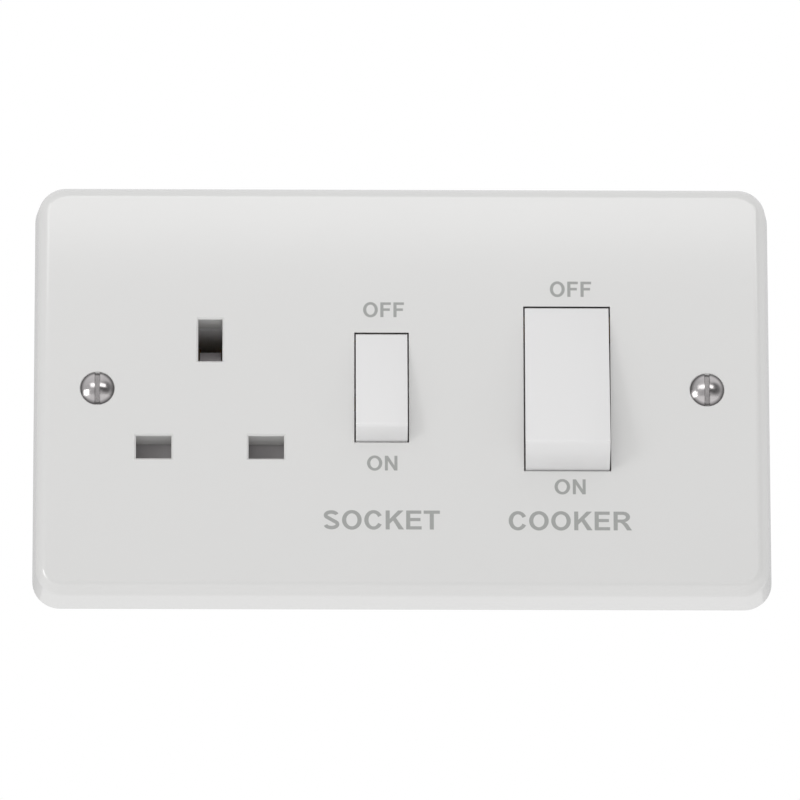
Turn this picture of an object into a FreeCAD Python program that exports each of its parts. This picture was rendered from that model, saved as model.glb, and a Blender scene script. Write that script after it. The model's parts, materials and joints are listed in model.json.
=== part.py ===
import FreeCAD, Part
import math
import os

from FreeCAD import Vector

os.makedirs("parts", exist_ok=True)

# Cooker control unit, millimetres. The wall is the plane y = 0, the unit faces -Y and +Z is up.
# The origin is the middle of the plate's rear rim. Depths are measured back from the front face.

# Front plate
plate_width = 146.0
plate_height = 86.0
plate_depth = 8.6  # front face to wall
plate_wall = 2.4
plate_taper = 0.9  # how much smaller the front outline is, each side
corner_radius = 5.6
edge_radius = 2.4  # front edge
fixing_spacing = 120.6
fixing_hole_radius = 2.0
fixing_boss = 8.8  # side of the square boss behind a fixing hole
rib_height = 2.2
rib_thickness = 1.2
root_lap = 0.5  # how far a rib or wall reaches into what carries it
running_gap = 0.3  # between mouldings that move past each other
snug_gap = 0.15  # between pieces that are dropped into place

# Fixing screws, raised countersunk
fixing_head_radius = 3.35
fixing_head_cone = 2.0
fixing_head_rise = 1.0
fixing_neck_radius = 1.5
fixing_thread_radius = 1.75
fixing_thread_start = 0.4  # behind the wall plane
fixing_screw_length = 22.0
fixing_slot_width = 0.9
fixing_slot_depth = 1.2
head_sink = 0.1  # how far the rim of the head lies below the face

# Socket
socket_x = -38.0
pin_spacing = 22.23
pin_row_z = -12.1
pin_slot_width = 7.0
pin_slot_height = 4.7
earth_slot_width = 4.8
earth_slot_height = 8.7
tunnel_depth = 6.0  # from the face to the end of the aperture walls
tunnel_wall = 1.3
aperture_bevel = 0.35
pin_length = 17.7
earth_pin_length = 22.7

# Shutter
shutter_thickness = 1.6
shutter_lap = 1.0  # how far a blade covers past its aperture
shutter_stem_width = 7.0
shutter_web = 2.0  # depth of the rib under the ramp
ramp_thickness = 1.5
spring_wire_radius = 0.25
shutter_spring_radius = 1.3
shutter_spring_length = 9.5
shutter_spring_turns = 6
spring_sides = 8  # straight stretches in a turn
spring_ledge_width = 5.0

# Pin contacts
clip_thickness = 0.8
clip_mouth = 1.0  # flare at the front of each leaf
pin_grip = 3.8  # free width between the leaves
pin_clip_width = 5.6
earth_clip_width = 6.6
clip_start = 2.0  # behind the shutter
clip_past_pin = 1.2  # room behind a pushed-in pin

# Rockers: a body with arc ends about its pivot
cooker_x = 32.6
cooker_z = 0.15
cooker_width = 16.6
cooker_radius = 17.6
cooker_pivot_depth = 5.2
cooker_tilt = 12.2
cooker_wall = 1.7
cooker_trunnion_radius = 1.5
socket_switch_x = -4.1
socket_switch_z = 0.3
socket_switch_width = 10.2
socket_switch_radius = 11.6
socket_switch_pivot_depth = 3.3
socket_switch_tilt = 11.0
socket_switch_wall = 1.4
socket_trunnion_radius = 1.0
trunnion_length = 1.8
trunnion_fit = 0.06
rocker_skirt = 1.6  # behind the pivot
ridge_radius = 0.7
shroud_wall = 1.4

# Plungers and rocking contacts
plunger_radius = 1.4
plunger_fit = 0.12
plunger_length = 7.0
plunger_travel = 1.4
plunger_proud = 3.2  # out of the stem
plunger_point = 1.0  # length of the cone on its nose
plunger_tip_radius = 0.45
plunger_spring_room = 1.6  # the spring when pressed
plunger_spring_radius = 0.95
plunger_spring_turns = 5
stem_wall = 0.9
cooker_reach = 16.0  # pivot to plunger nose
socket_reach = 14.2
pole_spacing = 8.4
bar_gap = 0.6  # plunger nose to bar, at mid travel
bar_thickness = 1.2
bar_width = 4.0
cooker_bar_half = 8.0
socket_bar_half = 6.2
bar_tilt = 10.0
bar_extra_bend = 5.0
barrier_height = 20.8  # the wall between the two poles
nose_radius = 0.9
nose_fit = 0.08
tip_size = 2.8  # side of a contact point's facing
tip_height = 0.8
tip_bevel = 0.25
tip_margin = 0.3  # from the facing to the end of its arm
touch_gap = 0.12  # left between closed contact points
strip_thickness = 1.2
strip_width = 3.2
strip_room = 3.2  # from the nose of a contact bar's support to the strips

# Terminals
terminal_width = 9.6
terminal_depth = 10.6
terminal_length = 11.0
terminal_bevel = 0.4
terminal_floor = 1.2  # in front of the cable's way
cable_way = 6.4  # side of the square way for the cable
clamp_screw_radius = 2.4
clamp_screw_fit = 0.08
clamp_screw_entry = 0.6  # into the cable's way
clamp_screw_recess = 1.0  # below the back of the housing
clamp_slot_width = 1.0
clamp_slot_depth = 1.2
terminal_spread = 16.0
pad_inset = 0.6  # of a strip's wide end, from the edge of its terminal
earth_terminal_x = -6.0
link_high_z = -15.0  # the neutral link passes above the live clamp and below the live pin contact
link_low_z = -20.5
link_step_x = 8.0
load_step_x = -14.0  # where the socket's live strip turns up

# Rear housing
housing_side_room = 0.3  # between the shutter's rails and the outside of the housing
housing_half_height = 31.6
housing_wall = 1.8
housing_floor = 2.0
housing_corner = 3.0
housing_screw_inset = 4.9  # from the outside of the housing
housing_screw_radius = 1.45
housing_screw_head = 2.9
housing_screw_head_depth = 1.8
housing_screw_slot = 1.0
housing_screw_length = 15.0
housing_screw_cover = 1.0  # plastic left in front of its point
pillar = 6.8  # side of the square pillars for these screws
cable_entry = 7.6  # side of the square openings for cables
partition_x = 13.0  # between the socket and the cooker switch

# Levels worked out from the sizes above
front = -plate_depth
plate_back = front + plate_wall
tunnel_end = front + tunnel_depth
shutter_front = tunnel_end + running_gap
shutter_back = shutter_front + shutter_thickness
deck = shutter_back + running_gap
earth_z = pin_row_z + pin_spacing
neutral_x = socket_x - pin_spacing / 2
live_x = socket_x + pin_spacing / 2
shutter_travel = pin_slot_height + shutter_lap + running_gap
blade_reach = pin_slot_width / 2 + shutter_lap  # from the middle of a pin aperture
terminal_left = cooker_x - terminal_spread / 2
terminal_right = cooker_x + terminal_spread / 2
pole_live_x = cooker_x - pole_spacing / 2
pole_neutral_x = cooker_x + pole_spacing / 2
housing_half_width = max(
    blade_reach - neutral_x + running_gap + rib_thickness + housing_side_room,
    terminal_right + terminal_width / 2 + snug_gap + rib_thickness + pillar / 2 + housing_screw_inset,
)
housing_screw_x = housing_half_width - housing_screw_inset
housing_screw_z = housing_half_height - housing_screw_inset
blade_top = pin_row_z + pin_slot_height / 2 + shutter_lap
blade_bottom = pin_row_z - pin_slot_height / 2 - shutter_lap
pin_clip_front = shutter_back + clip_start
pin_clip_back = front + pin_length + clip_past_pin + clip_thickness
earth_clip_front = shutter_front + shutter_travel + clip_start
earth_clip_back = front + earth_pin_length + clip_past_pin + clip_thickness
cooker_pivot_y = front + cooker_pivot_depth
socket_pivot_y = front + socket_switch_pivot_depth
cooker_nose_y = cooker_pivot_y + cooker_reach
socket_nose_y = socket_pivot_y + socket_reach
cooker_bar_y = cooker_nose_y + bar_gap + bar_thickness
socket_bar_y = socket_nose_y + bar_gap + bar_thickness
strip_y = cooker_bar_y + nose_radius + strip_room
housing_back = strip_y + strip_thickness + housing_floor
floor_front = housing_back - housing_floor
terminal_front = strip_y - terminal_depth
terminal_z = housing_half_height - housing_wall - snug_gap - terminal_length / 2
terminal_way_y = terminal_front + terminal_floor + cable_way / 2
screw_seat = plate_back + housing_screw_cover + housing_screw_length
screw_window = 2 * clamp_screw_radius + 4 * snug_gap


def block(x0, x1, y0, y1, z0, z1):
    return Part.makeBox(x1 - x0, y1 - y0, z1 - z0, Vector(x0, y0, z0))


def block_at(x, z, width, height, y0, y1):
    """A block centred on x and z that runs from y0 to y1."""
    return block(x - width / 2, x + width / 2, y0, y1, z - height / 2, z + height / 2)


def rod_x(radius, x0, x1, y, z):
    return Part.makeCylinder(radius, x1 - x0, Vector(x0, y, z), Vector(1, 0, 0))


def rod_y(radius, x, z, y0, y1):
    return Part.makeCylinder(radius, y1 - y0, Vector(x, y0, z), Vector(0, 1, 0))


def joined(shapes):
    whole = shapes[0]
    for shape in shapes[1:]:
        whole = whole.fuse(shape)
    return whole.removeSplitter()


def without(shape, tools):
    for tool in tools:
        shape = shape.cut(tool)
    return shape


def profile_x(points, x0, x1):
    """A side outline, given as (y, z) points, drawn out along X."""
    corners = [Vector(x0, y, z) for y, z in points]
    face = Part.Face(Part.makePolygon(corners + corners[:1]))
    return face.extrude(Vector(x1 - x0, 0, 0))


def profile_z(points, z0, z1):
    """An outline seen from above, given as (x, y) points, drawn out along Z."""
    corners = [Vector(x, y, z0) for x, y in points]
    face = Part.Face(Part.makePolygon(corners + corners[:1]))
    return face.extrude(Vector(0, 0, z1 - z0))


def tapered_block(x, z, width, height, y0, spread, y1):
    """A block that is width by height at y0, and larger by spread on every side at y1."""
    half = width / 2
    tall = height / 2
    wide_x = half + max(spread, 0)
    wide_z = tall + max(spread, 0)
    plan = [(x - half, y0), (x + half, y0), (x + half + spread, y1), (x - half - spread, y1)]
    side = [(y0, z - tall), (y0, z + tall), (y1, z + tall + spread), (y1, z - tall - spread)]
    return profile_z(plan, z - wide_z, z + wide_z).common(profile_x(side, x - wide_x, x + wide_x))


def edges_where(shape, test):
    return [edge for edge in shape.Edges if test(edge.BoundBox)]


def turned(shape, y, z, degrees):
    """The shape turned about an axis along X through (y, z)."""
    copy = shape.copy()
    copy.rotate(Vector(0, y, z), Vector(1, 0, 0), degrees)
    return copy


def spring_along_y(x, z, y0, y1, radius, turns):
    """A coil spring with its axis along Y, in short straight stretches of square wire with flat facets."""
    rise = y1 - y0 - 2 * spring_wire_radius
    count = turns * spring_sides
    points = []
    for i in range(count + 1):
        angle = 2 * math.pi * i / spring_sides
        outward = Vector(math.cos(angle), 0, math.sin(angle))
        middle = Vector(x, y0 + spring_wire_radius + rise * i / count, z) + outward * radius
        for across, along in ((1, 0), (0, 1), (-1, 0), (0, -1)):
            corner = outward * across + Vector(0, along, 0)
            points.append(middle + corner * spring_wire_radius)
    facets = [(0, 1, 2), (0, 2, 3)]
    for i in range(count):
        for k in range(4):
            a = 4 * i + k
            b = 4 * i + (k + 1) % 4
            facets += [(a, a + 4, b + 4), (a, b + 4, b)]
    last = 4 * count
    facets += [(last, last + 2, last + 1), (last, last + 3, last + 2)]
    shell = Part.Shape()
    shell.makeShapeFromMesh((points, facets), 1e-4)
    return Part.makeSolid(shell)


def slotted(shape, x, z, width, length, y0, y1):
    return shape.cut(block_at(x, z, width, length, y0, y1))


# The front plate


def rocker_opening(x, z, width, radius, pivot_y):
    """The space that a rocker sweeps, with its running gap, from in front of the face to behind it."""
    half = width / 2 + running_gap
    sweep = rod_x(radius + running_gap, x - half, x + half, pivot_y, z)
    return sweep.common(block_at(x, z, 4 * width, 4 * radius, front - radius, plate_back + radius))


def shroud(x, z, width, radius, pivot_y, trunnion_radius):
    """Walls behind the face round a rocker, thick beside it to carry the trunnions."""
    half_width = width / 2 + running_gap + trunnion_length
    half_height = radius + running_gap + shroud_wall
    reach = pivot_y + trunnion_radius + shroud_wall
    walls = block_at(x, z, 2 * half_width, 2 * half_height, plate_back - plate_wall / 2, reach)
    return walls


def trunnion_slots(x, z, width, pivot_y, trunnion_radius):
    """Open slots with round ends for a rocker's trunnions, entered from behind."""
    half = width / 2 + running_gap + trunnion_length + snug_gap
    radius = trunnion_radius + trunnion_fit
    seat = rod_x(radius, x - half, x + half, pivot_y, z)
    reach = pivot_y + trunnion_radius + 2 * shroud_wall
    way = block(x - half, x + half, pivot_y, reach, z - radius, z + radius)
    return seat.fuse(way)


def fixing_hole(x):
    """A clearance hole with a countersink for the screw's head."""
    hole = rod_y(fixing_hole_radius, x, 0, front - 1, 1)
    rim = fixing_head_radius + snug_gap
    sink = Part.makeCone(rim, fixing_thread_radius, fixing_head_cone, Vector(x, front, 0), Vector(0, 1, 0))
    return hole.fuse(sink)


def aperture(x, z, width, height):
    """A pin aperture with a small bevel at its mouth."""
    hole = block_at(x, z, width, height, front - 1, tunnel_end + 1)
    bevel = aperture_bevel
    mouth = tapered_block(x, z, width, height, front + bevel, 2 * bevel, front - bevel)
    return hole.fuse(mouth)


def pin_apertures():
    """Middle, width and height of each aperture."""
    return (
        (neutral_x, pin_row_z, pin_slot_width, pin_slot_height),
        (live_x, pin_row_z, pin_slot_width, pin_slot_height),
        (socket_x, earth_z, earth_slot_width, earth_slot_height),
    )


def housing_screw_places():
    """Two opposite corners of the housing."""
    return [(-housing_screw_x, housing_screw_z), (housing_screw_x, -housing_screw_z)]


def plate_shell():
    outer = tapered_block(0, 0, plate_width, plate_height, 0, -plate_taper, front)
    corners = edges_where(outer, lambda box: abs(box.YLength - plate_depth) < 1e-3)
    outer = outer.makeFillet(corner_radius, corners)
    rim = edges_where(outer, lambda box: abs(box.YMax - front) < 1e-3)
    outer = outer.makeFillet(edge_radius, rim)
    wide = plate_width - 2 * plate_wall
    tall = plate_height - 2 * plate_wall
    hollow = tapered_block(0, 0, wide, tall, 0, -plate_taper, plate_back)
    corners = edges_where(hollow, lambda box: abs(box.YLength + plate_back) < 1e-3)
    return outer.cut(hollow.makeFillet(corner_radius - plate_wall, corners))


def plate_ribs():
    """Thin ribs behind the face, across the plate above and below the housing's middle."""
    reach = plate_back + rib_height
    inner = plate_width / 2 - plate_wall - plate_taper
    ribs = []
    for z in (housing_screw_z + pillar / 2, -housing_screw_z - pillar / 2):
        ribs.append(block_at(0, z, 2 * inner, rib_thickness, plate_back - root_lap, reach))
    tall = plate_height / 2 - plate_wall - plate_taper
    between = ((live_x + socket_switch_x) / 2, (socket_switch_x + cooker_x) / 2)
    for x in (-housing_half_width, *between, housing_half_width):
        ribs.append(block_at(x, 0, rib_thickness, 2 * tall, plate_back - root_lap, reach))
    return ribs


def front_plate():
    adds = plate_ribs()
    for sx in (-1, 1):
        x = sx * fixing_spacing / 2
        adds.append(block_at(x, 0, fixing_boss, fixing_boss, plate_back - root_lap, 0))
    for x, z in housing_screw_places():
        adds.append(block_at(x, z, pillar, pillar, plate_back - root_lap, deck))
    for x, z, width, height in pin_apertures():
        wall = 2 * tunnel_wall
        adds.append(block_at(x, z, width + wall, height + wall, plate_back - root_lap, tunnel_end))
    rockers = (
        (socket_switch_x, socket_switch_z, socket_switch_width, socket_switch_radius,
         socket_pivot_y, socket_trunnion_radius),
        (cooker_x, cooker_z, cooker_width, cooker_radius, cooker_pivot_y, cooker_trunnion_radius),
    )
    cuts = []
    for x, z, width, radius, pivot_y, trunnion_radius in rockers:
        adds.append(shroud(x, z, width, radius, pivot_y, trunnion_radius))
        cuts.append(rocker_opening(x, z, width, radius, pivot_y))
        cuts.append(trunnion_slots(x, z, width, pivot_y, trunnion_radius))
    cuts += [aperture(*place) for place in pin_apertures()]
    cuts += [fixing_hole(sx * fixing_spacing / 2) for sx in (-1, 1)]
    for x, z in housing_screw_places():
        cuts.append(rod_y(housing_screw_radius + snug_gap / 2, x, z, plate_back, deck + 1))
    return without(joined([plate_shell()] + adds), cuts)


def fixing_screw(x):
    """A raised countersunk screw with a plain neck in the plate and its thread behind the wall plane."""
    rim = front + head_sink
    cone = Part.makeCone(
        fixing_head_radius, fixing_neck_radius, fixing_head_cone, Vector(x, rim, 0), Vector(0, 1, 0)
    )
    dome_radius = (fixing_head_radius ** 2 + fixing_head_rise ** 2) / (2 * fixing_head_rise)
    dome = Part.makeSphere(dome_radius, Vector(x, rim + dome_radius - fixing_head_rise, 0))
    dome = dome.common(rod_y(fixing_head_radius, x, 0, rim - fixing_head_rise, rim))
    neck = rod_y(fixing_neck_radius, x, 0, rim + fixing_head_cone / 2, fixing_thread_start)
    thread = rod_y(fixing_thread_radius, x, 0, fixing_thread_start, fixing_screw_length + rim)
    screw = joined([cone, dome, neck, thread])
    top = rim - fixing_head_rise
    return slotted(screw, x, 0, fixing_slot_width, 3 * fixing_head_radius, top - 1, top + fixing_slot_depth)


# Rockers, plungers and springs


def rocker(x, z, width, radius, pivot_y, pivot_depth, tilt, wall, trunnion_radius, stems, reach):
    """A hollow rocker in its off position: arc ends about the pivot, a flat front and stems behind."""
    half = width / 2
    rise = radius * math.sin(math.asin(pivot_depth / radius) + math.radians(tilt))
    chord = 2 * math.sqrt(radius ** 2 - rise ** 2)
    face = pivot_y - rise
    ends = rod_x(radius, x - half, x + half, pivot_y, z)
    body = ends.common(block_at(x, z, width, 2 * radius, face, pivot_y + rocker_skirt))
    rims = edges_where(body, lambda box: abs(box.YMax - face) < 1e-4 and box.XLength > width / 2)
    body = body.makeFillet(ridge_radius, rims)
    inside = rod_x(radius - wall, x - half + wall, x + half - wall, pivot_y, z)
    inside = inside.common(block_at(x, z, width, chord - wall, face + wall, pivot_y + radius))
    body = body.cut(inside)
    pins = rod_x(trunnion_radius, x - half - trunnion_length, x - half + wall, pivot_y, z)
    pins = pins.fuse(rod_x(trunnion_radius, x + half - wall, x + half + trunnion_length, pivot_y, z))
    stem_end = pivot_y + reach - plunger_proud
    stem = 2 * (plunger_radius + plunger_fit + stem_wall)
    rib = block_at(x, z, width - wall, rib_thickness, face + wall / 2, pivot_y + rocker_skirt)
    pieces = [body, pins, rib]
    for offset in stems:
        pieces.append(block_at(x + offset, z, stem, stem, face + wall / 2, stem_end))
    whole = joined(pieces)
    bore_start = stem_end + plunger_proud - plunger_length - plunger_travel - plunger_spring_room
    for offset in stems:
        whole = whole.cut(rod_y(plunger_radius + plunger_fit, x + offset, z, bore_start, stem_end + 1))
    return turned(whole, pivot_y, z, -tilt)


def plunger(x, z, pivot_y, reach, tilt):
    nose = pivot_y + reach
    shoulder = nose - plunger_point
    body = rod_y(plunger_radius, x, z, nose - plunger_length, shoulder)
    point = Part.makeCone(
        plunger_radius, plunger_tip_radius, plunger_point, Vector(x, shoulder, z), Vector(0, 1, 0)
    )
    return turned(joined([body, point]), pivot_y, z, -tilt)


def plunger_spring(x, z, pivot_y, reach, tilt):
    back = pivot_y + reach - plunger_length
    start = back - plunger_travel - plunger_spring_room
    ends = (start + snug_gap, back - snug_gap)
    coil = spring_along_y(x, z, *ends, plunger_spring_radius, plunger_spring_turns)
    return turned(coil, pivot_y, z, -tilt)


def bar_outline(half, nose_y, z):
    """Side outline of a rocking contact: two arms bent forward from the middle."""
    bend = math.radians(bar_tilt + bar_extra_bend)
    rise = half * math.tan(bend)
    front_y = nose_y + bar_gap
    back_y = front_y + bar_thickness
    return [
        (front_y - rise, z - half),
        (front_y, z),
        (front_y - rise, z + half),
        (back_y - rise, z + half),
        (back_y, z),
        (back_y - rise, z - half),
    ]


def contact_bar(x, z, half, nose_y, bar_y):
    """A rocking contact in its off position, hollowed behind its middle for the nose it rocks on."""
    bar = profile_x(bar_outline(half, nose_y, z), x - bar_width / 2, x + bar_width / 2)
    seat_radius = nose_radius + nose_fit
    cheeks = block_at(x, z, bar_width, 4 * seat_radius, bar_y - bar_thickness / 2, bar_y + nose_radius / 2)
    bar = bar.fuse(cheeks).removeSplitter()
    bar = bar.cut(rod_x(seat_radius, x - bar_width, x + bar_width, bar_y + nose_radius / 2, z))
    return turned(bar, bar_y + nose_radius / 2, z, bar_tilt)


def tip_place(half, nose_y):
    """Depth and height over the middle of the moving tip's face, before the bar is tilted."""
    bend = math.radians(bar_tilt + bar_extra_bend)
    offset = half - tip_size / 2 - tip_margin
    return nose_y + bar_gap + bar_thickness - offset * math.tan(bend), offset


def leaning(shape, y, z):
    """Turned square to the upper arm of a rocking contact."""
    return turned(shape, y, z, bar_tilt + bar_extra_bend)


def facing(x, z, y0, y1, open_side):
    """A square contact facing, bevelled round the side that meets its partner."""
    tip = block_at(x, z, tip_size, tip_size, y0, y1)
    return tip.makeChamfer(tip_bevel, edges_where(tip, lambda box: abs(box.Center.y - open_side) < 1e-4))


def moving_tip(x, z, half, nose_y, bar_y):
    y, offset = tip_place(half, nose_y)
    tip = leaning(facing(x, z + offset, y, y + tip_height, y + tip_height), y, z + offset)
    return turned(tip, bar_y + nose_radius / 2, z, bar_tilt)


def closed_place(x, z, half, nose_y, bar_y, shape):
    """Puts a shape made against the untilted moving tip where that tip closes."""
    y, offset = tip_place(half, nose_y)
    shape = leaning(shape, y, z + offset)
    return turned(shape, bar_y + nose_radius / 2, z, -bar_tilt)


def fixed_tip(x, z, half, nose_y, bar_y):
    y, offset = tip_place(half, nose_y)
    start = y + tip_height + touch_gap
    tip = facing(x, z + offset, start, start + tip_height, start)
    return closed_place(x, z, half, nose_y, bar_y, tip)


# Contacts, links and terminals


def pin_clip(x, z, width, y0, y1, upright):
    """A sprung clip: two leaves with flared mouths, joined by a web behind."""
    t = clip_thickness
    inner = pin_grip / 2
    wide = inner + clip_mouth
    waist = y0 + 2 * clip_mouth
    leaf = [
        (y0, wide), (waist, inner), (y1 - 2 * t, inner + t / 2), (y1 - t, inner + t / 2),
        (y1 - t, 0), (y1, 0), (y1, inner + 1.5 * t), (y1 - 2 * t, inner + 1.5 * t),
        (waist, inner + t), (y0, wide + t),
    ]
    upper = profile_x(leaf, -width / 2, width / 2)
    lower = profile_x([(y, -z_) for y, z_ in leaf], -width / 2, width / 2)
    clip = upper.fuse(lower).removeSplitter()
    if upright:
        clip.rotate(Vector(0, 0, 0), Vector(0, 1, 0), 90)
    clip.translate(Vector(x, 0, z))
    return clip


def strip_run(corners, y):
    """A flat strip in one plane, square to Y, along a chain of (x, z) corners."""
    half = strip_width / 2
    runs = []
    for (x0, z0), (x1, z1) in zip(corners, corners[1:]):
        runs.append(block(min(x0, x1) - half, max(x0, x1) + half, y, y + strip_thickness,
                          min(z0, z1) - half, max(z0, z1) + half))
    return runs


def feed_support(x, z, bar_y):
    """An upright post with the round nose on which a contact bar rocks."""
    nose_y = bar_y + nose_radius / 2
    nose = rod_x(nose_radius, x - strip_width / 2, x + strip_width / 2, nose_y, z)
    post = block_at(x, z, strip_width, 2 * nose_radius, nose_y, strip_y + strip_thickness)
    return [nose, post]


def load_rise(x, z, half, nose_y, bar_y):
    """The bracket from a strip up to the back of a fixed contact point."""
    y, offset = tip_place(half, nose_y)
    start = y + 2 * tip_height + touch_gap
    seat = block_at(x, z + offset, strip_width, tip_size, start, start + strip_thickness)
    seat = closed_place(x, z, half, nose_y, bar_y, seat)
    box = seat.BoundBox
    half_width = strip_width / 2
    leg = block(x - half_width, x + half_width, box.YMin + strip_thickness / 2, strip_y + strip_thickness,
                box.ZMax - strip_thickness, box.ZMax + strip_thickness / 4)
    return seat, leg


def terminal(x, z):
    """A cable clamp block: a square way for the cable along Z and a hole for its screw from behind."""
    body = block_at(x, z, terminal_width, terminal_length, terminal_front, strip_y)
    long_edges = edges_where(body, lambda box: box.ZLength > terminal_length / 2)
    body = body.makeChamfer(terminal_bevel, long_edges)
    half = cable_way / 2
    way = block_at(x, z, cable_way, 2 * terminal_length, terminal_way_y - half, terminal_way_y + half)
    return body.cut(way).cut(rod_y(clamp_screw_radius + clamp_screw_fit, x, z, terminal_way_y, strip_y + 1))


def clamp_screw(x, z):
    """A slotted clamp screw, turned back clear of the cable's way."""
    tip = terminal_way_y + cable_way / 2 - clamp_screw_entry
    end = housing_back - clamp_screw_recess
    screw = rod_y(clamp_screw_radius, x, z, tip, end)
    return slotted(screw, x, z, clamp_slot_width, 3 * clamp_screw_radius, end - clamp_slot_depth, end + 1)


def terminal_places():
    """Name, x and z of each cable clamp."""
    return (
        ("supply_live_terminal", terminal_left, -terminal_z),
        ("supply_neutral_terminal", terminal_right, -terminal_z),
        ("load_live_terminal", terminal_left, terminal_z),
        ("load_neutral_terminal", terminal_right, terminal_z),
        ("earth_terminal", earth_terminal_x, terminal_z),
    )


def pad(x, z, y):
    """The wide end of a strip, against a terminal."""
    width = terminal_width - 2 * pad_inset
    return block_at(x, z, width, terminal_length - 2 * pad_inset, y, y + strip_thickness)


def strip_window(x, z):
    """The square hole in a strip that its clamp screw passes through."""
    return block_at(x, z, screw_window, screw_window, strip_y - 1, strip_y + strip_thickness + 1)


def live_busbar():
    """Feeds the live pole of the cooker switch and, through a link to the left, the socket switch."""
    runs = strip_run([(pole_live_x, cooker_z), (pole_live_x, -terminal_z)], strip_y)
    runs += strip_run([(terminal_left, -terminal_z), (socket_switch_x, -terminal_z),
                       (socket_switch_x, socket_switch_z)], strip_y)
    runs.append(pad(terminal_left, -terminal_z, strip_y))
    runs += feed_support(pole_live_x, cooker_z, cooker_bar_y)
    runs += feed_support(socket_switch_x, socket_switch_z, socket_bar_y)
    return runs


def neutral_busbar():
    runs = strip_run([(pole_neutral_x, cooker_z), (pole_neutral_x, -terminal_z)], strip_y)
    runs.append(pad(terminal_right, -terminal_z, strip_y))
    return runs + feed_support(pole_neutral_x, cooker_z, cooker_bar_y)


def neutral_link():
    """Runs in front of the terminals from the neutral supply clamp to the neutral pin contact."""
    y = terminal_front - strip_thickness
    leaf = pin_row_z - pin_grip / 2 - 1.5 * clip_thickness
    path = [(terminal_right, -terminal_z), (terminal_right, link_high_z), (link_step_x, link_high_z),
            (link_step_x, link_low_z), (neutral_x, link_low_z)]
    middle = (leaf + link_low_z) / 2
    rise = block_at(neutral_x, middle, strip_width, leaf - link_low_z, y, y + strip_thickness)
    return strip_run(path, y) + [rise]


def earth_strap():
    runs = strip_run([(socket_x, earth_z), (socket_x, terminal_z), (earth_terminal_x, terminal_z)], strip_y)
    return runs + [pad(earth_terminal_x, terminal_z, strip_y)]


def load_contact(x, z, half, nose_y, bar_y, path):
    """A strip with the bracket that carries a fixed contact point."""
    seat, leg = load_rise(x, z, half, nose_y, bar_y)
    middle = (leg.BoundBox.ZMin + leg.BoundBox.ZMax) / 2
    return strip_run([(x, middle)] + path(middle), strip_y) + [seat, leg]


def cooker_load(x, terminal_x):
    runs = load_contact(x, cooker_z, cooker_bar_half, cooker_nose_y, cooker_bar_y,
                        lambda z: [(x, terminal_z)])
    return runs + [pad(terminal_x, terminal_z, strip_y)]


def socket_load():
    return load_contact(socket_switch_x, socket_switch_z, socket_bar_half, socket_nose_y, socket_bar_y,
                        lambda z: [(load_step_x, z), (load_step_x, pin_row_z), (live_x, pin_row_z)])


def clip_with_leg(x, z, width, y0, y1, upright):
    """A pin contact whose web has a leg back to the plane of the strips."""
    clip = pin_clip(x, z, width, y0, y1, upright)
    leg = block_at(x, z, strip_width, strip_width / 2, y1 - clip_thickness, strip_y)
    return joined([clip, leg])


# Shutter


def shutter_ramp_foot():
    """Height of the ramp's front edge, just below the earth aperture."""
    return earth_z - earth_slot_height / 2 - running_gap


def shutter():
    """Two blades that close the lower apertures, and a ramp that the earth pin pushes down."""
    foot = shutter_ramp_foot()
    top = foot + shutter_travel
    back = shutter_front + shutter_travel
    blades = block(neutral_x - blade_reach, live_x + blade_reach, shutter_front, shutter_back,
                   blade_bottom, blade_top)
    stem = block_at(socket_x, (blade_bottom + foot) / 2, shutter_stem_width, foot - blade_bottom,
                    shutter_front, shutter_back)
    ramp_half = earth_slot_width / 2 - running_gap
    slope = [(shutter_front, foot), (back, top), (back, top - ramp_thickness),
             (shutter_back, foot - ramp_thickness), (shutter_front, foot - ramp_thickness)]
    ramp = profile_x(slope, socket_x - ramp_half, socket_x + ramp_half)
    root = shutter_back - shutter_thickness / 8
    web = profile_x([(root, foot - ramp_thickness), (back, top - ramp_thickness / 2),
                     (back, top - ramp_thickness - shutter_web), (root, foot - 3 * ramp_thickness)],
                    socket_x - rib_thickness / 2, socket_x + rib_thickness / 2)
    return joined([blades, stem, ramp, web])


def shutter_spring():
    middle = (shutter_front + shutter_back) / 2
    end = blade_bottom - snug_gap
    length = shutter_spring_length - snug_gap
    coil = spring_along_y(0, 0, 0, length, shutter_spring_radius, shutter_spring_turns)
    coil.rotate(Vector(0, 0, 0), Vector(1, 0, 0), -90)
    coil.translate(Vector(socket_x, middle, end))
    return coil


# Rear housing


def grown(shapes, gap):
    """Boxes a little larger all round than the given upright blocks."""
    boxes = []
    for shape in shapes:
        box = shape.BoundBox
        boxes.append(block(box.XMin - gap, box.XMax + gap, box.YMin - gap, box.YMax + gap,
                           box.ZMin - gap, box.ZMax + gap))
    return boxes


def tube(x0, x1, z0, z1, y0, y1):
    """A rectangular chimney whose inside is the given box."""
    w = rib_thickness
    return block(x0 - w, x1 + w, y0, y1, z0 - w, z1 + w), block(x0, x1, y0 - 1, y1, z0, z1)


def clip_tubes():
    """Chimneys round the pin contacts. The earth one also leaves room for the shutter's ramp."""
    half = pin_clip_width / 2 + running_gap
    tall = pin_grip / 2 + clip_mouth + clip_thickness + running_gap
    foot = shutter_ramp_foot() - shutter_travel - 3 * ramp_thickness - running_gap
    head = earth_z + earth_slot_height / 2 + running_gap
    return [
        tube(neutral_x - half, neutral_x + half, pin_row_z - tall, pin_row_z + tall, deck, floor_front),
        tube(live_x - half, live_x + half, pin_row_z - tall, pin_row_z + tall, deck, floor_front),
        tube(socket_x - tall, socket_x + tall, foot, head, deck, floor_front),
    ]


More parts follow.
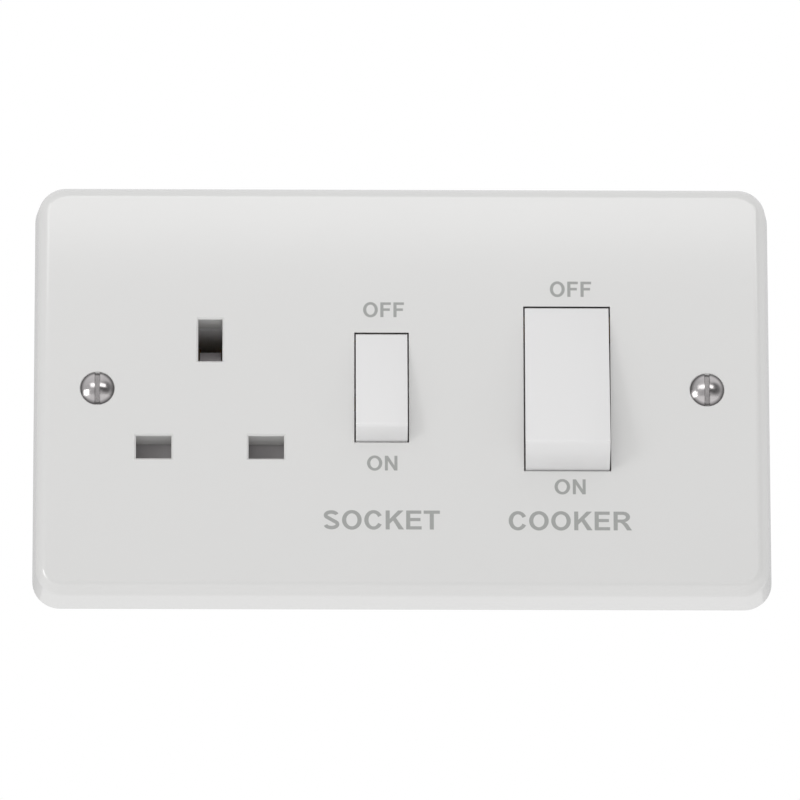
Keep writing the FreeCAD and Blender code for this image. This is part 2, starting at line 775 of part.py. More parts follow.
def shutter_guides():
    """Low rails on the deck at the ends of the blades, and the ledge that the spring pushes on."""
    arm = blade_reach + running_gap
    z0 = blade_bottom - shutter_travel
    rails = []
    for x in (neutral_x - arm - rib_thickness, live_x + arm):
        rails.append(block(x, x + rib_thickness, shutter_front, floor_front, z0, blade_top))
    ledge_top = blade_bottom - shutter_spring_length
    half = spring_ledge_width / 2
    ledge = block(socket_x - half, socket_x + half, shutter_front - running_gap, terminal_front / 2,
                  -housing_half_height + housing_wall / 2, ledge_top)
    return rails + [ledge]


def bearing_posts(x, z, width, pivot_y, trunnion_radius):
    """Posts that close a rocker's trunnion slots from behind."""
    reach = pivot_y + trunnion_radius + 2 * trunnion_fit
    thick = trunnion_length - snug_gap
    posts = []
    for side in (-1, 1):
        middle = x + side * (width / 2 + running_gap + snug_gap + thick / 2)
        posts.append(block_at(middle, z, thick, 2 * (trunnion_radius - snug_gap), reach, floor_front))
        posts.append(block_at(middle, z, thick, 4 * trunnion_radius, deck + running_gap, floor_front))
    return posts


def bar_stop(x, z, half, nose_y, bar_y):
    """The post that the lower arm of a rocking contact rests on when it is off."""
    y, offset = tip_place(half, nose_y)
    turn = math.radians(bar_tilt)
    pivot = bar_y + nose_radius / 2
    back = pivot + (y - pivot) * math.cos(turn) + offset * math.sin(turn)
    return block_at(x, z - offset, bar_width, 2 * rib_thickness, back + 2 * touch_gap, floor_front)


def terminal_cradles():
    """Ribs on both sides of each cable clamp."""
    ribs = []
    half = terminal_width / 2 + snug_gap
    for name, x, z in terminal_places():
        outer = math.copysign(housing_half_height - housing_wall / 2, z)
        inner = z - math.copysign(terminal_length / 2, z)
        for side in (-1, 1):
            middle = x + side * (half + rib_thickness / 2)
            ribs.append(block_at(middle, (outer + inner) / 2, rib_thickness, abs(outer - inner),
                                 terminal_front + terminal_floor, floor_front))
    return ribs


def housing_shell():
    outer = block_at(0, 0, 2 * housing_half_width, 2 * housing_half_height, deck, housing_back)
    outer = outer.makeFillet(housing_corner, edges_where(outer, lambda box: box.YLength > housing_wall))
    rear = edges_where(outer, lambda box: abs(box.YMin - housing_back) < 1e-3)
    outer = outer.makeChamfer(housing_wall / 2, rear)
    width = 2 * (housing_half_width - housing_wall)
    inner = block_at(0, 0, width, 2 * (housing_half_height - housing_wall), deck - 1, floor_front)
    corners = edges_where(inner, lambda box: box.YLength > housing_wall)
    return outer.cut(inner.makeFillet(housing_corner - housing_wall, corners))


def rear_housing(strips):
    """The moulded tray: walls, floor, contact chimneys, bearing posts, cradles and screw pillars."""
    adds = shutter_guides() + terminal_cradles()
    cuts = []
    for outside, inside in clip_tubes():
        adds.append(outside)
        cuts.append(inside)
    adds += bearing_posts(cooker_x, cooker_z, cooker_width, cooker_pivot_y, cooker_trunnion_radius)
    adds += bearing_posts(socket_switch_x, socket_switch_z, socket_switch_width, socket_pivot_y,
                          socket_trunnion_radius)
    for x in (pole_live_x, pole_neutral_x):
        adds.append(bar_stop(x, cooker_z, cooker_bar_half, cooker_nose_y, cooker_bar_y))
    adds.append(bar_stop(socket_switch_x, socket_switch_z, socket_bar_half, socket_nose_y, socket_bar_y))
    barrier_front = cooker_nose_y - plunger_proud
    adds.append(block_at(cooker_x, cooker_z, rib_thickness, barrier_height, barrier_front, floor_front))
    adds.append(block_at(partition_x, 0, rib_thickness, 2 * housing_half_height - housing_wall,
                         deck + running_gap, floor_front))
    for x, z in housing_screw_places():
        adds.append(block_at(x, z, pillar, pillar, deck, floor_front + root_lap))
        cuts.append(rod_y(housing_screw_radius + snug_gap, x, z, deck - 1, housing_back))
        cuts.append(rod_y(housing_screw_head + snug_gap, x, z, screw_seat, housing_back + 1))
    for name, x, z in terminal_places():
        cuts.append(rod_y(clamp_screw_radius + 2 * snug_gap, x, z, terminal_front, housing_back + 1))
        outer = math.copysign(housing_half_height + 1, z)
        inner = z + math.copysign(terminal_length / 2, z)
        half = cable_entry / 2
        cuts.append(block(x - half, x + half, terminal_way_y - half, terminal_way_y + half,
                          min(inner, outer), max(inner, outer)))
        cuts += grown([block_at(x, z, terminal_width, terminal_length, terminal_front, strip_y)], snug_gap)
    body = without(joined([housing_shell()] + adds), cuts)
    floor = block_at(0, 0, 2 * plate_width, 2 * plate_height, floor_front, housing_back)
    return without(body, [slot.cut(floor) for slot in grown(strips, snug_gap)])


def housing_screw(x, z):
    top = screw_seat + housing_screw_head_depth
    head = rod_y(housing_screw_head, x, z, screw_seat, top)
    shank = rod_y(housing_screw_radius, x, z, screw_seat - housing_screw_length, screw_seat)
    screw = joined([head, shank])
    return slotted(screw, x, z, clamp_slot_width, 3 * housing_screw_head, top - housing_screw_slot, top + 1)


def group(shapes):
    return Part.makeCompound(shapes)


# The whole unit

live_load = cooker_load(pole_live_x, terminal_left)
neutral_load = cooker_load(pole_neutral_x, terminal_right)
socket_strips = socket_load()
strips = live_busbar() + neutral_busbar() + neutral_link() + earth_strap()
strips += live_load + neutral_load + socket_strips
screw_holes = [strip_window(x, z) for name, x, z in terminal_places()]

pin_clip_ends = (pin_clip_front, pin_clip_back)
earth_clip_ends = (earth_clip_front, earth_clip_back)

pieces = {
    "front_plate": front_plate(),
    "rear_housing": rear_housing(strips),
    "shutter": shutter(),
    "shutter_spring": shutter_spring(),
    "neutral_pin_contact": pin_clip(neutral_x, pin_row_z, pin_clip_width, *pin_clip_ends, False),
    "live_pin_contact": clip_with_leg(live_x, pin_row_z, pin_clip_width, *pin_clip_ends, False),
    "earth_pin_contact": clip_with_leg(socket_x, earth_z, earth_clip_width, *earth_clip_ends, True),
    "live_busbar": without(joined(live_busbar()), screw_holes),
    "neutral_busbar": without(joined(neutral_busbar()), screw_holes),
    "neutral_link": joined(neutral_link()),
    "earth_strap": without(joined(earth_strap()), screw_holes),
    "live_load_contact": without(joined(live_load), screw_holes),
    "neutral_load_contact": without(joined(neutral_load), screw_holes),
    "socket_load_contact": joined(socket_strips),
    "fixing_screws": group([fixing_screw(sx * fixing_spacing / 2) for sx in (-1, 1)]),
    "housing_screws": group([housing_screw(x, z) for x, z in housing_screw_places()]),
    "terminal_screws": group([clamp_screw(x, z) for name, x, z in terminal_places()]),
    "cooker_rocker": rocker(
        cooker_x, cooker_z, cooker_width, cooker_radius, cooker_pivot_y, cooker_pivot_depth, cooker_tilt,
        cooker_wall, cooker_trunnion_radius, (-pole_spacing / 2, pole_spacing / 2), cooker_reach,
    ),
    "socket_rocker": rocker(
        socket_switch_x, socket_switch_z, socket_switch_width, socket_switch_radius, socket_pivot_y,
        socket_switch_pivot_depth, socket_switch_tilt, socket_switch_wall, socket_trunnion_radius, (0,),
        socket_reach,
    ),
}
for name, x, z in terminal_places():
    pieces[name] = terminal(x, z)

# Each pole: its name, place, pivot, reach, tilt and contact bar
cooker_pole = (cooker_z, cooker_pivot_y, cooker_reach, cooker_tilt, cooker_bar_half,
               cooker_nose_y, cooker_bar_y)
socket_pole = (socket_switch_z, socket_pivot_y, socket_reach, socket_switch_tilt, socket_bar_half,
               socket_nose_y, socket_bar_y)
poles = (
    ("live", pole_live_x, *cooker_pole),
    ("neutral", pole_neutral_x, *cooker_pole),
    ("socket", socket_switch_x, *socket_pole),
)
for pole, x, z, pivot_y, reach, tilt, half, nose_y, bar_y in poles:
    pieces[pole + "_plunger"] = plunger(x, z, pivot_y, reach, tilt)
    pieces[pole + "_plunger_spring"] = plunger_spring(x, z, pivot_y, reach, tilt)
    pieces[pole + "_contact_bar"] = contact_bar(x, z, half, nose_y, bar_y)
    pieces[pole + "_moving_tip"] = moving_tip(x, z, half, nose_y, bar_y)
    pieces[pole + "_fixed_tip"] = fixed_tip(x, z, half, nose_y, bar_y)

for name, shape in pieces.items():
    shape.exportStep("parts/" + name + ".step")
    print(name, len(shape.Solids), round(shape.Volume, 2), shape.isValid())
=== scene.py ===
import json
import math

import bmesh
import bpy
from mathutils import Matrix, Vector
from mathutils.geometry import tessellate_polygon


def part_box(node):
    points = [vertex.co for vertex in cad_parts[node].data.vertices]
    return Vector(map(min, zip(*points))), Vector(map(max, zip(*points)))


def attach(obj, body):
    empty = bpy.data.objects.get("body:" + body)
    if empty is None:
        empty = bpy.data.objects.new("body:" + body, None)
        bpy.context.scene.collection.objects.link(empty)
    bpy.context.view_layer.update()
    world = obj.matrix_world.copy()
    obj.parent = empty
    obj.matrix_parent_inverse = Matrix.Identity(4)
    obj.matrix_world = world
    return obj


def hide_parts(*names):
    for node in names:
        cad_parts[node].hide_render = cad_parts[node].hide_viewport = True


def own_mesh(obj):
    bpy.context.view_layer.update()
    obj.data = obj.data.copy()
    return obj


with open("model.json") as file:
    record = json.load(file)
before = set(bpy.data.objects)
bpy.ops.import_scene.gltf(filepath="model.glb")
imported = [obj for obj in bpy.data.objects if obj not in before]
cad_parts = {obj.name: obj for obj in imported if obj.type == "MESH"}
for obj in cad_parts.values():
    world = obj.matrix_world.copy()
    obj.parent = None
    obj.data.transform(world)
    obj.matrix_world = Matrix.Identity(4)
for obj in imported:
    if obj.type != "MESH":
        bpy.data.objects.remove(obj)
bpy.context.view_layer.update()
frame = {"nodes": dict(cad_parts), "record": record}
print("frame loaded:", len(frame["nodes"]), "nodes")

mm = 0.001
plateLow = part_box("front_plate")[0]
faceY = plateLow[1]  # the plate's front face


# Shader sockets as numbers: an expression adds its Math nodes
class Wave:
    def __init__(self, maker, socket):
        self.maker = maker
        self.socket = socket

    def mathNode(self, operation, first, second=None, clamp=False):
        settings = {"operation": operation, "use_clamp": clamp}
        values = {0: first} if second is None else {0: first, 1: second}
        return self.maker.add("ShaderNodeMath", settings, values)

    def __add__(self, other):
        return self.mathNode("ADD", self, other)

    def __radd__(self, other):
        return self.mathNode("ADD", other, self)

    def __sub__(self, other):
        return self.mathNode("SUBTRACT", self, other)

    def __rsub__(self, other):
        return self.mathNode("SUBTRACT", other, self)

    def __mul__(self, other):
        return self.mathNode("MULTIPLY", self, other)

    def __rmul__(self, other):
        return self.mathNode("MULTIPLY", other, self)

    def __pow__(self, other):
        return self.mathNode("POWER", self, other)

    def __rpow__(self, other):
        return self.mathNode("POWER", other, self)

    def magnitude(self):
        return self.mathNode("ABSOLUTE", self)

    def clamped(self):
        return self.mathNode("ADD", self, 0.0, clamp=True)


# Builds the nodes of one material, or of the world
class Finish:
    def __init__(self, name, owner=None):
        self.material = owner or bpy.data.materials.new(name)
        self.material.use_nodes = True
        self.tree = self.material.node_tree
        self.tree.nodes.clear()
        output = "ShaderNodeOutputWorld" if owner else "ShaderNodeOutputMaterial"
        self.output = self.tree.nodes.new(output)
        self.place = self.add("ShaderNodeTexCoord", {}, {}, "Generated" if owner else "Object")

    def add(self, kind, settings, values, output=0):
        node = self.tree.nodes.new(kind)
        for key, value in settings.items():
            if key == "stops":
                ramp = node.color_ramp
                while len(ramp.elements) < len(value):
                    ramp.elements.new(0.5)
                for element, (position, colour) in zip(ramp.elements, value):
                    element.position = position
                    element.color = colour
            else:
                setattr(node, key, value)
        for key, value in values.items():
            if isinstance(value, Wave):
                self.tree.links.new(value.socket, node.inputs[key])
            else:
                node.inputs[key].default_value = value
        return Wave(self, node.outputs[output])

    def part(self, axis):
        return self.add("ShaderNodeSeparateXYZ", {}, {"Vector": self.place}, axis)

    def noise(self, scale, detail, roughness, stretch=(1, 1, 1)):
        where = self.add("ShaderNodeMapping", {}, {"Vector": self.place, "Scale": stretch})
        return self.add("ShaderNodeTexNoise", {}, {
            "Vector": where, "Scale": scale, "Detail": detail, "Roughness": roughness})

    def between(self, low, high, mask):
        # sockets 6, 7 and 2 are the Mix node's two colours and its colour result
        low, high = [end if isinstance(end, Wave) else (*end, 1) for end in (low, high)]
        return self.add("ShaderNodeMix", {"data_type": "RGBA"}, {6: low, 7: high, 0: mask}, 2)

    def bumped(self, height, strength, distance):
        values = {"Height": height, "Strength": strength, "Distance": distance}
        return self.add("ShaderNodeBump", {}, values)

    def finished(self, **values):
        settings = {key.replace("_", " "): value for key, value in values.items()}
        return self.shown(self.add("ShaderNodeBsdfPrincipled", {}, settings))

    def shown(self, shader):
        self.tree.links.new(shader.socket, self.output.inputs[0])
        return self.material


plasticIor = 1.5
noiseMiddle = 0.5  # a noise swings about this value


def mouldedWhite(name, look):
    # glossy thermoset moulding: even colour, faint cloudiness and orange peel under a clear skin
    f = Finish(name)
    colour = f.between(look["shade"], look["tint"], f.noise(*look["cloud"]))
    skin = f.noise(*look["peel"])
    grain = f.noise(*look["grain"])
    rough = look["roughness"] + (grain - noiseMiddle) * look["roughnessSpread"]
    return f.finished(
        Base_Color=colour, Roughness=rough,
        Normal=f.bumped(skin, look["peelStrength"], look["peelDepth"]),
        Coat_Weight=look["coat"], Coat_Roughness=look["coatRoughness"], IOR=plasticIor)


def mouldedMatt(name, look):
    # satin engineering plastic with the fine spark texture of its mould
    f = Finish(name)
    cloud = f.noise(*look["cloud"])
    spark = f.noise(*look["spark"])
    colour = f.between(look["shade"], look["tint"], cloud)
    if "bladeShade" in look:
        # painted shade: the blades that stand below the ramp are darkened as if deep in shadow, in
        # patches from the cloud noise
        drop = look["bladeShadeBelow"] - f.part("Z")
        bladeShadeMask = (drop * look["bladeShadeRise"] + cloud * look["bladeShadePatches"]).clamped()
        colour = f.between(colour, look["bladeShade"], bladeShadeMask)
    rough = look["roughness"] + (spark - noiseMiddle) * look["roughnessSpread"]
    return f.finished(
        Base_Color=colour, Roughness=rough,
        Normal=f.bumped(spark, look["sparkStrength"], look["sparkDepth"]), IOR=plasticIor)


def workedMetal(name, look):
    # rolled or turned metal: fine lines one way, with stains that dull it in places
    f = Finish(name)
    lines = f.noise(*look["lines"], look["stretch"])
    stain = f.noise(*look["stain"])
    mask = ((stain - look["stainFrom"]) * look["stainRise"]).clamped()
    colour = f.between(look["tint"], look["shade"], mask)
    if "rim" in look:
        # the rim of each countersunk head is darkened, part tarnish and part painted shade round
        # the countersink, and its slot is darkened as painted shade in the recess
        fromAxis = f.part("X").magnitude() - look["axisX"]
        reach = (fromAxis * fromAxis + f.part("Z") * f.part("Z")) ** 0.5
        tarnishAndShade = ((reach - look["rim"]) * look["rimRise"] + stain * look["rimPatches"]).clamped()
        # painted shade down in the slot
        slotShade = ((look["slotHalf"] - fromAxis.magnitude()) * look["slotRise"]).clamped()
        darkened = (tarnishAndShade + slotShade * look["slotShare"]).clamped()
        colour = f.between(colour, look["tarnishAndShade"], darkened)
    lined = (lines - noiseMiddle) * look["lineSpread"]
    rough = look["roughness"] + lined + mask * look["stainDulls"]
    return f.finished(
        Base_Color=colour, Metallic=1.0, Roughness=rough,
        Normal=f.bumped(lines, look["lineBump"], look["lineDepth"]))


# Looks: cloud, peel, grain, spark, lines and stain are a noise's scale, detail and roughness
plateLook = {
    "tint": (0.694, 0.691, 0.680), "shade": (0.668, 0.666, 0.656),
    "cloud": (18.0, 3.0, 0.55), "peel": (420.0, 1.5, 0.4), "grain": (900.0, 2.0, 0.6),
    "peelStrength": 0.10, "peelDepth": 0.02 * mm, "roughness": 0.34, "roughnessSpread": 0.05,
    "coat": 1.0, "coatRoughness": 0.07,
}
rockerLook = dict(
    plateLook, tint=(0.768, 0.764, 0.761), shade=(0.741, 0.738, 0.736), roughness=0.36)
housingLook = {
    "tint": (0.86, 0.85, 0.85), "shade": (0.80, 0.79, 0.79),
    "cloud": (22.0, 3.0, 0.6), "spark": (2600.0, 4.0, 0.7), "sparkStrength": 0.35,
    "sparkDepth": 0.03 * mm, "roughness": 0.52, "roughnessSpread": 0.12,
}
# the blades below the part's z = 0, given here in the shutter's own coordinates, get a painted
# shade colour
shutterLook = dict(
    housingLook, tint=(0.82, 0.78, 0.80), shade=(0.74, 0.70, 0.72), cloud=(60.0, 3.0, 0.6),
    roughness=0.48, bladeShade=(0.36, 0.345, 0.35), bladeShadeRise=900.0, bladeShadePatches=0.3,
    bladeShadeBelow=-frame["nodes"]["shutter"].matrix_world.translation.z)
brassLook = {
    "tint": (0.80, 0.60, 0.30), "shade": (0.58, 0.40, 0.19), "roughness": 0.28,
    "lines": (700.0, 3.0, 0.6), "stretch": (1, 1, 0.06), "lineSpread": 0.18,
    "lineBump": 0.25, "lineDepth": 0.02 * mm,
    "stain": (120.0, 3.0, 0.6), "stainFrom": 0.42, "stainRise": 4.0, "stainDulls": 0.18,
}
# the nickel's dark tarnish colour is also the painted shade of each head's rim and slot
nickelLook = dict(
    brassLook, tint=(0.54, 0.52, 0.52), shade=(0.34, 0.33, 0.33), roughness=0.17,
    stretch=(1, 0.1, 1), stainDulls=0.10, axisX=60.3 * mm, rim=2.75 * mm, rimRise=1600.0,
    rimPatches=0.4, slotHalf=0.62 * mm, slotRise=9000.0, slotShare=0.6,
    tarnishAndShade=(0.10, 0.095, 0.095))
steelLook = dict(brassLook, tint=(0.70, 0.70, 0.71), shade=(0.55, 0.55, 0.56), roughness=0.30)
silverLook = dict(brassLook, tint=(0.88, 0.87, 0.84), shade=(0.74, 0.72, 0.68), roughness=0.34)

finishes = {
    "plate_white": mouldedWhite("plateMoulding", plateLook),
    "rocker_white": mouldedWhite("rockerMoulding", rockerLook),
    "housing_plastic": mouldedMatt("housingMoulding", housingLook),
    "shutter_plastic": mouldedMatt("shutterMoulding", shutterLook),
    "spring_steel": workedMetal("springWire", steelLook),
    "contact_brass": workedMetal("contactBrass", brassLook),
    "contact_silver": workedMetal("contactSilver", silverLook),
    "screw_nickel": workedMetal("screwNickel", nickelLook),
    "screw_steel": workedMetal("screwSteel", steelLook),
}
slotOf = {part["node"]: part["material_slot"] for part in frame["record"]["subparts"]}
for node, shown in frame["nodes"].items():
    finish = finishes[slotOf[node]]
    for materialSlot in shown.material_slots:
        materialSlot.material = finish
print("finishes on", len(frame["nodes"]), "nodes")


def newPiece(name, mesh, finish):
    piece = bpy.data.objects.new(name, mesh)
    bpy.context.scene.collection.objects.link(piece)
    mesh.materials.clear()
    mesh.materials.append(finish)
    return piece


# Rockers: the solid's own form with its long front edges rounded, which are the sharp ones
# on its sides that reach no further than "behind" past the plate's face
rimLook = {
    "merge": 0.001 * mm, "near": 0.005 * mm, "flat": math.radians(1.0),
    "sharp": math.radians(35.0), "creased": math.radians(28.0), "behind": 3.5 * mm,
    "radius": 0.38 * mm, "steps": 3, "roundness": 0.5,
}


def roundedRocker(look, node, body):
    solid = frame["nodes"][node].data
    across = [v.co.x for v in solid.vertices if v.co.y < faceY]
    sides = (min(across), max(across))
    form = bmesh.new()
    form.from_mesh(solid)
    bmesh.ops.remove_doubles(form, verts=form.verts, dist=look["merge"])
    bmesh.ops.dissolve_limit(form, angle_limit=look["flat"], verts=form.verts, edges=form.edges)
    rims = []
    for edge in form.edges:
        inFront = max(v.co.y for v in edge.verts) < faceY + look["behind"]
        onSide = any(all(abs(v.co.x - x) < look["near"] for v in edge.verts) for x in sides)
        isCorner = len(edge.link_faces) == 2 and edge.calc_face_angle() > look["sharp"]
        if inFront and onSide and isCorner:
            rims.append(edge)
    bmesh.ops.bevel(
        form, geom=rims, offset=look["radius"], offset_type="OFFSET", segments=look["steps"],
        profile=look["roundness"], affect="EDGES", clamp_overlap=True)
    bmesh.ops.triangulate(form, faces=form.faces)
    mesh = bpy.data.meshes.new(node + "Rounded")
    form.to_mesh(mesh)
    form.free()
    mesh.shade_smooth()
    mesh.set_sharp_from_angle(angle=look["creased"])
    print(node, "rounded along", len(rims), "edges")
    rounded = newPiece(node + "Rounded", mesh, finishes["rocker_white"])
    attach(rounded, body)
    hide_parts(node)


roundedRocker(rimLook, "cooker_rocker", "cooker_rocker_body")
roundedRocker(rimLook, "socket_rocker", "socket_rocker_body")


# Springs: round-wire coils in place of the solids, each carried by its body
shutterCoil = {
    "wire": 0.24 * mm, "radius": 1.28 * mm, "turns": 7, "closed": 1.2, "closePitch": 2.05,
    "steps": 20, "sides": 6, "travel": 6.0 * mm,
}
plungerCoil = dict(
    shutterCoil, wire=0.15 * mm, radius=0.92 * mm, turns=5, closed=0.8, travel=1.4 * mm)
rockerOf = {"live": "cooker_rocker", "neutral": "cooker_rocker", "socket": "socket_rocker"}
# millimetres along a rocker's stem from its hinge: the spring's foot and tip
stemSeats = {"cooker_rocker": (6.15, 8.85), "socket_rocker": (4.35, 7.05)}


def coilSpring(look, node, body, foot, tip):
    axis = (tip - foot).normalized()
    side = axis.orthogonal().normalized()
    other = axis.cross(side)
    length, wire = (tip - foot).length, look["wire"]
    rings, sides = look["turns"] * look["steps"], look["sides"]
    closedRise = look["closed"] * look["closePitch"] * wire
    openTurns = look["turns"] - 2 * look["closed"]
    openLength = length - 2 * wire - 2 * closedRise
    points = []
    for i in range(rings + 1):
        turn = i / look["steps"]
        # the end turns lie close, the ones between share the rest of the length
        lead = min(turn, look["closed"]) + max(turn - look["turns"] + look["closed"], 0)
        opened = min(max(turn - look["closed"], 0), openTurns) / openTurns
        rise = wire + lead * look["closePitch"] * wire + opened * openLength
        outward = side * math.cos(2 * math.pi * turn) + other * math.sin(2 * math.pi * turn)
        middle = foot + axis * rise + outward * look["radius"]
        for k in range(sides):
            angle = 2 * math.pi * k / sides
            points.append(middle + (outward * math.cos(angle) + axis * math.sin(angle)) * wire)
    faces = [tuple(range(sides)), tuple(reversed(range(rings * sides, (rings + 1) * sides)))]
    for i in range(rings):
        for k in range(sides):
            a, b = i * sides + k, i * sides + (k + 1) % sides
            faces.append((a, a + sides, b + sides, b))
    mesh = bpy.data.meshes.new(node + "Coil")
    mesh.from_pydata(points, [], faces)
    mesh.polygons.foreach_set("use_smooth", [False, False] + [True] * (rings * sides))
    coil = newPiece(node + "Coil", mesh, finishes["spring_steel"])
    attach(coil, body)
    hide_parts(node)
    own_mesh(coil)


joints = {joint["name"]: joint for joint in frame["record"]["behaviour"]["joints"]}
low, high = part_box("shutter_spring")
middle = (low + high) / 2
coilSpring(shutterCoil, "shutter_spring", "unit_body",
           Vector((middle.x, middle.y, low.z)), Vector((middle.x, middle.y, high.z)))
for pole, rocker in rockerOf.items():
    low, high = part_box(pole + "_plunger_spring")
    pivot = Vector(joints[rocker + "_hinge"]["pos_m"])
    pivot.x = (low.x + high.x) / 2
    outward = -Vector(joints[pole + "_plunger_slide"]["axis"])
    foot, tip = [pivot + outward * reach * mm for reach in stemSeats[rocker]]
    coilSpring(plungerCoil, pole + "_plunger_spring", rocker + "_body",
               foot, tip)
print("springs:", 1 + len(rockerOf), "coils")


# Points along an ellipse, in degrees from the right, anticlockwise where stop is past start
def bow(x, y, halfWidth, halfHeight, start, stop, steps=16):
    angles = [math.radians(start + (stop - start) * i / steps) for i in range(steps + 1)]
    return [(x + halfWidth * math.cos(angle), y + halfHeight * math.sin(angle)) for angle in angles]


# The outline of an even stroke along a line of points
def stroked(line, thick):
    left, right = [], []
    for i, (x, y) in enumerate(line):
        (x0, y0), (x1, y1) = line[max(i - 1, 0)], line[min(i + 1, len(line) - 1)]
        length = math.hypot(x1 - x0, y1 - y0)
        sideX, sideY = (y0 - y1) / length * thick / 2, (x1 - x0) / length * thick / 2
        left.append((x + sideX, y + sideY))
        right.append((x - sideX, y - sideY))
    return left + right[::-1]


# Bold sans letters in thousandths of the type size: the step to the next letter, then the
# outline and its holes
letters = {
    "O": (778, bow(389, 358, 345, 371, 0, 350, 35), bow(389, 358, 197, 247, 0, 350, 35)),
    "F": (611, [(73, 0), (73, 716), (564, 716), (564, 595), (218, 595), (218, 425), (517, 425),
                (517, 304), (218, 304), (218, 0)]),
    "N": (722, [(73, 0), (73, 716), (214, 716), (507, 238), (507, 716), (641, 716), (641, 0),
                (496, 0), (208, 467), (208, 0)]),
    "S": (667, stroked(
        bow(332, 535, 198, 118, 12, 235, 20) + bow(340, 190, 212, 127, 55, -168, 20), 132)),
    "C": (722, bow(372, 358, 325, 370, 28, 332, 30) + bow(372, 358, 177, 247, 334, 26, 30)),
    "K": (722, [(75, 0), (75, 716), (219, 716), (219, 398), (511, 716), (705, 716), (436, 438),
                (720, 0), (533, 0), (336, 336), (219, 216), (219, 0)]),
    "E": (667, [(73, 0), (73, 716), (604, 716), (604, 595), (218, 595), (218, 436), (577, 436),
                (577, 315), (218, 315), (218, 121), (617, 121), (617, 0)]),
    "T": (611, [(234, 0), (234, 595), (21, 595), (21, 716), (592, 716), (592, 595), (379, 595),
                (379, 0)]),
    "R": (722, [(73, 0), (73, 716), (400, 716), *bow(400, 513, 255, 203, 84, -75), (500, 300),
                (560, 255), (720, 0), (548, 0), (440, 170), (370, 260), (300, 299), (218, 299),
                (218, 0)],
          [(218, 595), (385, 595), *bow(385, 504, 122, 91, 80, -80, 12), (385, 413),
           (218, 413)]),
}

# Printed words: middle x and z, width and height, in millimetres on the face
printLook = {
    "film": 0.012 * mm, "ink": (0.315, 0.322, 0.310), "faded": (0.358, 0.364, 0.352),
    "wear": (1500.0, 3.0, 0.6), "roughness": 0.42, "roughnessSpread": 0.1,
    "bumpStrength": 0.15, "bumpDepth": 0.01 * mm,
    "words": (
        ("OFF", "socketOff", -3.7, 16.5, 8.1, 3.2),
        ("ON", "socketOn", -4.0, -15.4, 6.0, 3.15),
        ("SOCKET", "socketWord", -4.1, -27.15, 22.9, 4.05),
        ("OFF", "cookerOff", 33.4, 20.9, 8.2, 3.3),
        ("ON", "cookerOn", 33.05, -20.2, 6.15, 3.2),
        ("COOKER", "cookerWord", 33.05, -27.25, 24.3, 4.0),
    ),
}


def printInk(look):
    # pad-printed ink: a little uneven, and duller than the moulding under it
    f = Finish("greyPrint")
    wear = f.noise(*look["wear"])
    return f.finished(
        Base_Color=f.between(look["ink"], look["faded"], wear),
        Roughness=look["roughness"] + wear * look["roughnessSpread"],
        Normal=f.bumped(wear, look["bumpStrength"], look["bumpDepth"]))


def printedWord(look, ink, text, name, x, z, width, height):
    groups, start = [], 0
    for letter in text:
        step, *outlines = letters[letter]
        groups.append([[(start + u, v) for u, v in outline] for outline in outlines])
        start += step
    us = [u for group in groups for loop in group for u, v in loop]
    vs = [v for group in groups for loop in group for u, v in loop]
    left, right, bottom, top = min(us), max(us), min(vs), max(vs)
    points, faces = [], []
    for group in groups:
        first = len(points)
        flat = [point for loop in group for point in loop]
        for depth in (look["film"], 0.0):
            for u, v in flat:
                across = (u - (left + right) / 2) / (right - left) * width * mm
                up = (v - (bottom + top) / 2) / (top - bottom) * height * mm
                points.append((x * mm + across, faceY - depth, z * mm + up))
        filled = tessellate_polygon([[Vector((u, v, 0)) for u, v in loop] for loop in group])
        for a, b, c in filled:
            (ua, va), (ub, vb), (uc, vc) = flat[a], flat[b], flat[c]
            if (ub - ua) * (vc - va) < (uc - ua) * (vb - va):
                b, c = c, b
            faces.append((first + a, first + b, first + c))
            faces.append((first + len(flat) + a, first + len(flat) + c, first + len(flat) + b))
        for loop in group:
            turn = sum(p[0] * q[1] - q[0] * p[1] for p, q in zip(loop, loop[1:] + loop[:1]))
            # the ink is on the left of an outline that runs anticlockwise, and a hole counts
            # the other way
            outward = (turn > 0) == (loop is group[0])
            for i in range(len(loop)):
                a, b = first + i, first + (i + 1) % len(loop)
                side = (a, a + len(flat), b + len(flat), b)
                faces.append(side if outward else side[::-1])
            first += len(loop)
    mesh = bpy.data.meshes.new(name)
    mesh.from_pydata(points, [], faces)
    word = newPiece(name, mesh, ink)
    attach(word, "unit_body")


ink = printInk(printLook)
for word in printLook["words"]:
    printedWord(printLook, ink, *word)
print("print on the face:", len(printLook["words"]), "words")


# Stage: a pale floor far below, and surroundings that look white to the camera alone
stageLook = {
    "floorZ": -2.6, "floorSize": 30.0, "pale": (0.72, 0.72, 0.72), "dull": (0.70, 0.70, 0.70),
    "mottle": (0.8, 2.0, 0.5), "roughness": 0.9, "glow": 0.59,
}
worldLook = {
    "strength": 0.835,
    "stops": (
        (0.0, (0.84, 0.83, 0.83, 1)),
        (0.6, (0.665, 0.665, 0.67, 1)),
        (1.0, (1.15, 1.15, 1.16, 1)),
    ),
    "dimToward": (0.50, -0.80, 0.33), "dimFrom": 0.90, "dimRise": 16.0, "dimBy": 0.7,
    "sidePower": 3.0, "sideLift": 0.43,
}


def makeFloor(look):
    half = look["floorSize"] / 2
    corners = [(-half, -half), (half, -half), (half, half), (-half, half)]
    mesh = bpy.data.meshes.new("paleFloor")
    mesh.from_pydata([(x, y, look["floorZ"]) for x, y in corners], [], [(0, 1, 2, 3)])
    f = Finish("paleFloor")
    colour = f.between(look["dull"], look["pale"], f.noise(*look["mottle"]))
    glowing = f.finished(
        Base_Color=colour, Roughness=look["roughness"], Emission_Color=colour,
        Emission_Strength=look["glow"])
    newPiece("paleFloor", mesh, glowing)


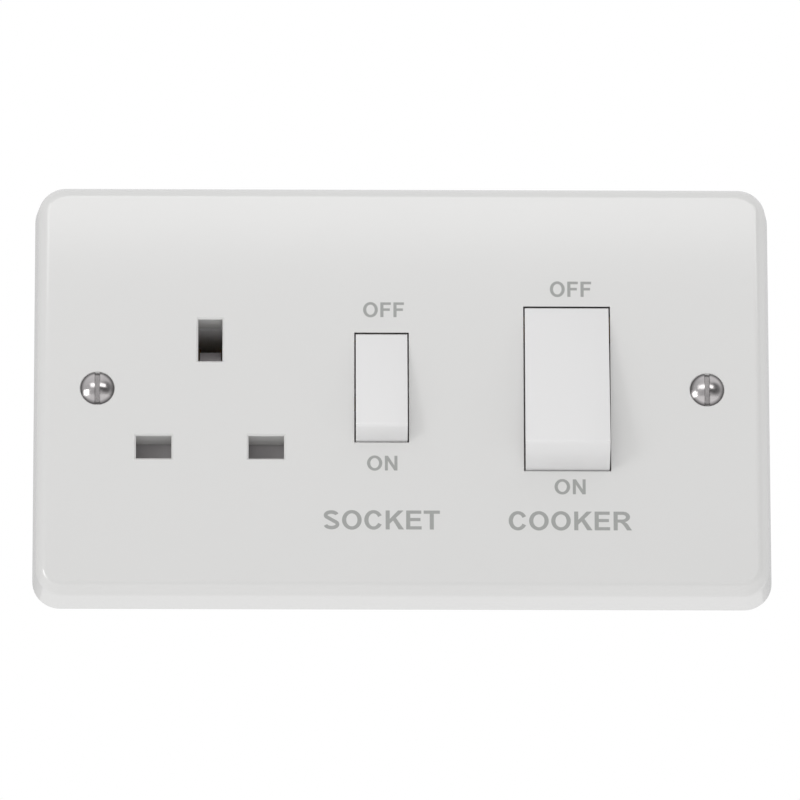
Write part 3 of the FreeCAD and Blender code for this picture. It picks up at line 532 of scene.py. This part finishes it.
def makeWorld(look):
    world = bpy.data.worlds.new("studio")
    bpy.context.scene.world = world
    f = Finish("studio", world)
    upward = f.part("Z") * 0.5 + 0.5  # 0 straight down, 1 straight up
    colour = f.add("ShaderNodeValToRGB", {"stops": look["stops"]}, {"Fac": upward})
    # the room behind the camera is dim on one side, which only bright metal shows
    facing = {0: f.place, 1: look["dimToward"]}
    toward = f.add("ShaderNodeVectorMath", {"operation": "DOT_PRODUCT"}, facing, "Value")
    dim = ((toward - look["dimFrom"]) * look["dimRise"]).clamped()
    side = f.part("X").clamped() ** look["sidePower"]
    strength = look["strength"] - dim * look["dimBy"] + side * look["sideLift"]
    ambient = f.add("ShaderNodeBackground", {}, {"Color": colour, "Strength": strength})
    white = f.add("ShaderNodeBackground", {}, {"Color": (1, 1, 1, 1), "Strength": 1.0})
    seen = f.add("ShaderNodeLightPath", {}, {}, "Is Camera Ray")
    f.shown(f.add("ShaderNodeMixShader", {}, {0: seen, 1: ambient, 2: white}))


softboxes = {
    "sideSoftbox": {
        "place": (-0.84, -0.90, 0.0), "target": (0, 0, 0), "width": 0.35, "height": 0.35,
        "power": 2.0,
    },
    "topSoftbox": {
        "place": (0.0, -1.0, 0.50), "target": (0, 0, 0.03), "width": 1.1, "height": 0.25,
        "power": 2.2,
    },
}


def addLamp(name, look):
    data = bpy.data.lights.new(name, "AREA")
    data.shape = "RECTANGLE"
    data.size = look["width"]
    data.size_y = look["height"]
    data.energy = look["power"]
    lamp = bpy.data.objects.new(name, data)
    bpy.context.scene.collection.objects.link(lamp)
    lamp.location = look["place"]
    aim = Vector(look["target"]) - Vector(look["place"])
    lamp.rotation_euler = aim.to_track_quat("-Z", "Y").to_euler()
    lamp.visible_camera = False


# Camera: angles in degrees, target in metres
cameraLook = {
    "distance": 2.2, "below": 18.0, "leftward": 0.9, "roll": -0.12, "focalPixels": 11105,
    "picturePixels": 800, "sensor": 36.0, "nearest": 0.05,
    "target": (-0.0004, -0.0043, -0.0009),
}


def addCamera(look):
    data = bpy.data.cameras.new("camera")
    data.sensor_width = look["sensor"]
    data.lens = look["focalPixels"] * look["sensor"] / look["picturePixels"]
    data.clip_start = look["nearest"]
    camera = bpy.data.objects.new("camera", data)
    bpy.context.scene.collection.objects.link(camera)
    target = Vector(look["target"])
    tilt = math.radians(look["below"])
    turn = math.radians(look["leftward"])
    level = math.cos(tilt)
    away = Vector((math.sin(turn) * level, math.cos(turn) * level, math.sin(tilt)))
    camera.location = target - look["distance"] * away
    camera.rotation_euler = away.to_track_quat("-Z", "Y").to_euler()
    camera.rotation_euler.rotate_axis("Z", math.radians(look["roll"]))
    bpy.context.scene.camera = camera


makeFloor(stageLook)
makeWorld(worldLook)
for name, look in softboxes.items():
    addLamp(name, look)
addCamera(cameraLook)
bpy.context.scene.view_settings.view_transform = "Standard"
print("stage, lamps and camera are set")
